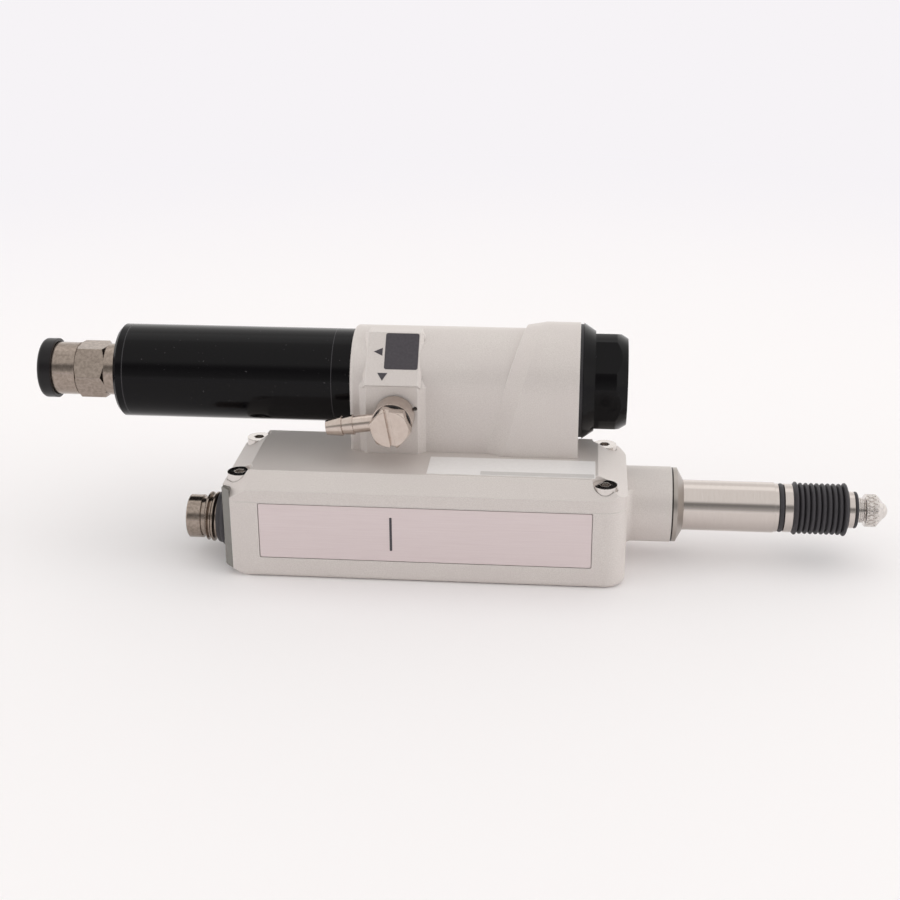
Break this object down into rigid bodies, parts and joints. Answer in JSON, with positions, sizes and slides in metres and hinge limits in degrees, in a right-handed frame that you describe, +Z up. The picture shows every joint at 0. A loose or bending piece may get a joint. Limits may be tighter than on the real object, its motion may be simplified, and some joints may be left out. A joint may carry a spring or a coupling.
{
  "type": "contact displacement sensor",
  "caption": "Contact displacement sensor with a round stem, rubber bellows and ball tip, and a cylindrical air unit with filter tube, push-in fitting and hose barb on its cover.",
  "frame": {"origin": "on the spindle axis, where the plain stem leaves its nose", "axes": "+X along the spindle towards the contact tip, +Z up from the face it lies on, and the front face with the nameplate looks to -Y"},
  "size_m": [0.1364, 0.0294, 0.0362],
  "materials": {
    "housing_paint": "fine silver-grey paint with a slight sparkle",
    "black_rubber": "matt",
    "boot_rubber": "matt moulded rubber",
    "screw_steel": "plated",
    "plate_metal": "brushed along its length",
    "label_film": "matt white film",
    "smoked_plastic": "smoky and clear",
    "nickel": "satin nickel plating",
    "black_plastic": "smooth black",
    "contact_brass": "gold plated",
    "bright_steel": "turned",
    "ground_steel": "ground and polished",
    "ball_steel": "polished",
    "bush_brass": "turned",
    "spring_steel": "bright wire",
    "light_alloy": "milled",
    "scale_glass": "clear",
    "board_plastic": "solder resist",
    "clear_plastic": "clear moulding",
    "black_anodised": "glossy black anodised",
    "filter_white": "porous"
  },
  "bodies": {
    "base": {"case": "housing_paint", "cover": "housing_paint", "cover_gasket": "black_rubber", "cover_screws": "screw_steel", "nameplate": "plate_metal", "cover_label": "label_film", "indicator_window": "smoked_plastic", "connector_shell": "nickel", "connector_nut": "nickel", "connector_insert": "black_plastic", "connector_pins": "contact_brass", "connector_gasket": "black_rubber", "nose_ring": "bright_steel", "stem": "ground_steel", "guide_bush": "bush_brass", "bellows_seat": "bright_steel", "seat_oring": "black_rubber", "bellows": "boot_rubber", "return_spring": "spring_steel", "air_cylinder": "ground_steel", "cylinder_gland": "bush_brass", "gland_seal": "black_rubber", "transfer_tube": "bright_steel", "circuit_board": "board_plastic", "board_screws": "screw_steel", "image_sensor": "black_plastic", "light_source": "clear_plastic", "air_housing": "housing_paint", "housing_screws": "screw_steel", "filter_tube": "black_anodised", "tube_oring": "black_rubber", "tube_cap": "black_anodised", "filter_element": "filter_white", "inlet_fitting": "nickel", "fitting_seal": "black_rubber", "fitting_collet": "spring_steel", "bonnet": "black_anodised", "bonnet_gasket": "black_rubber", "diaphragm": "black_rubber", "diaphragm_plate": "light_alloy", "regulating_spring": "spring_steel", "valve_seat": "bush_brass", "valve_spring": "spring_steel", "banjo_bolt": "nickel", "banjo_elbow": "nickel", "banjo_gaskets": "black_plastic"},
    "spindle_unit": {"spindle": "ground_steel", "piston": "bush_brass", "piston_seal": "black_rubber", "scale_holder": "light_alloy", "glass_scale": "scale_glass", "bellows_cap": "bright_steel", "cap_oring": "black_rubber", "contact_tip": "bright_steel", "contact_ball": "ball_steel"},
    "release": {"release_ring": "black_plastic"},
    "valve": {"valve_pin": "bush_brass"}
  },
  "joints": [
    {"name": "spindle_slide", "type": "slide", "parent": "base", "child": "spindle_unit", "axis": [1, 0, 0], "range_m": [0, 0.01], "stiffness_N_per_m": 40, "springref_m": -0.01, "deforming": ["bellows", "return_spring"]},
    {"name": "release_slide", "type": "slide", "parent": "base", "child": "release", "axis": [1, 0, 0], "range_m": [0, 0.0008], "stiffness_N_per_m": 300, "springref_m": -0.0005},
    {"name": "valve_slide", "type": "slide", "parent": "base", "child": "valve", "axis": [-1, 0, 0], "range_m": [0, 0.0005], "stiffness_N_per_m": 200, "springref_m": -0.0005, "deforming": ["valve_spring"]}
  ]
}
